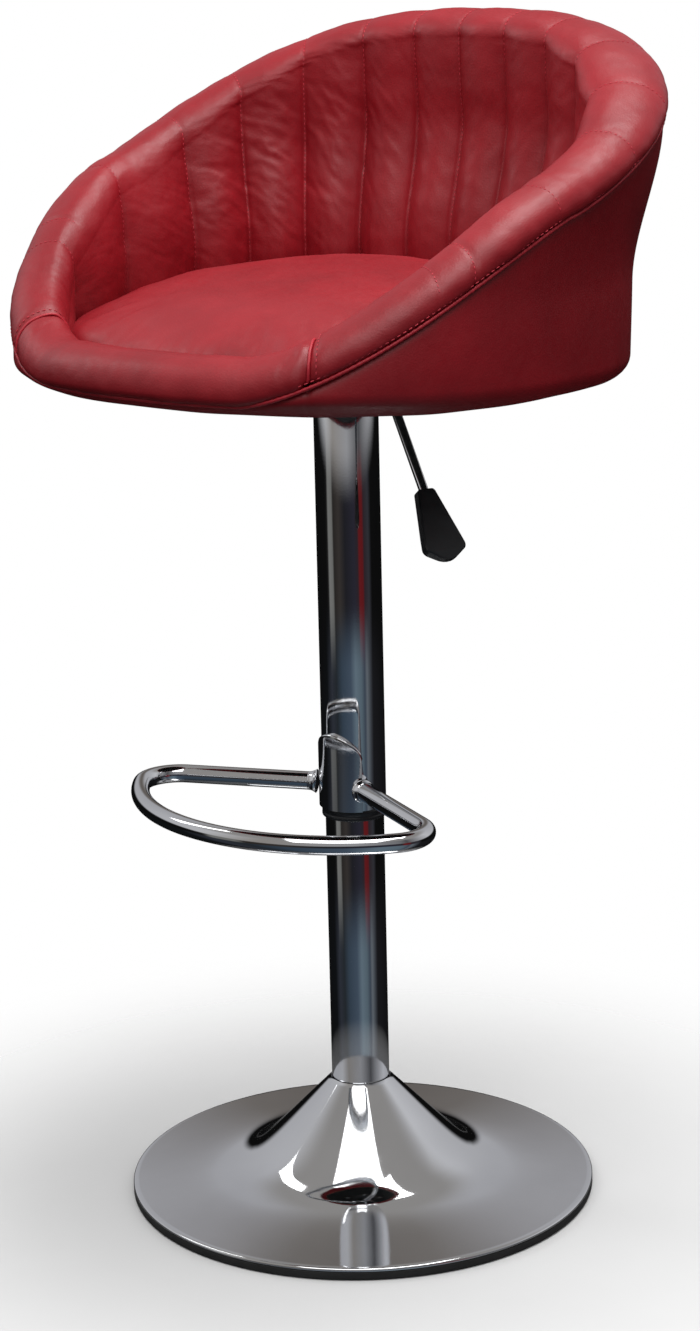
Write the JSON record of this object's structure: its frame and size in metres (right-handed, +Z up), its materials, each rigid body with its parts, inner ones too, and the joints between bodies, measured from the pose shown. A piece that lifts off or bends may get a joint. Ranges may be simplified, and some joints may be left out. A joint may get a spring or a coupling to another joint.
{
  "type": "adjustable swivel bar stool",
  "caption": "Gas-lift swivel bar stool with a padded red bucket seat, a chrome column, a hoop footrest, a height lever and a round dish base.",
  "frame": {"origin": "on the floor at the column's axis", "axes": "+Z up, -Y towards the front of the seat and the footrest, +X towards the sitter's left hand as they face forward, where the height lever is"},
  "size_m": [0.5316, 0.493, 1.02],
  "materials": {
    "chrome": "polished",
    "plain_steel": "ground",
    "zinc_steel": "zinc plated",
    "lever_steel": "polished",
    "ballast_iron": "rough cast",
    "brass_cage": "turned",
    "black_paint": "powder coated",
    "black_plastic": "moulded",
    "ring_rubber": "matt",
    "plywood": "raw ply",
    "lining_cloth": "non-woven",
    "red_leather": "semi-gloss with stitched seams"
  },
  "bodies": {
    "base": {"base_dish": "chrome", "floor_ring": "ring_rubber", "ballast_plate": "ballast_iron", "lower_tube": "chrome", "column_foot": "plain_steel", "foot_bolts": "zinc_steel", "foot_washers": "zinc_steel", "tube_plug": "plain_steel", "guide_bush": "black_plastic", "lower_race": "plain_steel"},
    "gas_rod": {"bearing_balls": "plain_steel", "ball_cage": "brass_cage", "upper_race": "plain_steel", "piston_rod": "plain_steel", "piston_head": "brass_cage", "rod_clip": "zinc_steel", "rubber_buffer": "ring_rubber"},
    "seat": {"pressure_tube": "black_paint", "tube_gland": "black_plastic", "release_valve": "brass_cage", "upper_sleeve": "chrome", "sleeve_bush": "black_plastic", "footrest_bar": "chrome", "footrest_saddle": "chrome", "mounting_pan": "black_paint", "pan_socket": "black_paint", "seat_bolts": "zinc_steel", "seat_washers": "zinc_steel", "tee_nuts": "zinc_steel", "lever_bracket": "zinc_steel", "lever_pin": "plain_steel", "seat_board": "plywood", "dust_cover": "lining_cloth", "outer_cover": "red_leather", "bucket_shell": "plywood", "back_pad": "red_leather", "rim_roll": "red_leather", "front_roll": "red_leather", "seat_cushion": "red_leather"},
    "lever": {"lever_rocker": "zinc_steel", "lever_rod": "lever_steel", "lever_paddle": "black_plastic"},
    "valve_pin": {"release_pin": "plain_steel"}
  },
  "joints": [
    {"name": "swivel", "type": "hinge", "parent": "base", "child": "gas_rod", "pos_m": [0, 0, 0.035], "axis": [0, 0, 1], "continuous": true},
    {"name": "lift", "type": "slide", "parent": "gas_rod", "child": "seat", "axis": [0, 0, 1], "range_m": [-0.21, 0]},
    {"name": "lever_tilt", "type": "hinge", "parent": "seat", "child": "lever", "pos_m": [0.02819, -0.01026, 0.718], "axis": [-0.342, -0.9397, 0], "range_deg": [0, 6], "stiffness_Nm_per_rad": 20, "springref_deg": -5.73},
    {"name": "pin_press", "type": "slide", "parent": "seat", "child": "valve_pin", "axis": [0, 0, -1], "range_m": [0, 0.0036]}
  ],
  "couplings": [
    {"joint": "pin_press", "follows": "lever_tilt", "m_per_rad": 0.0335}
  ]
}
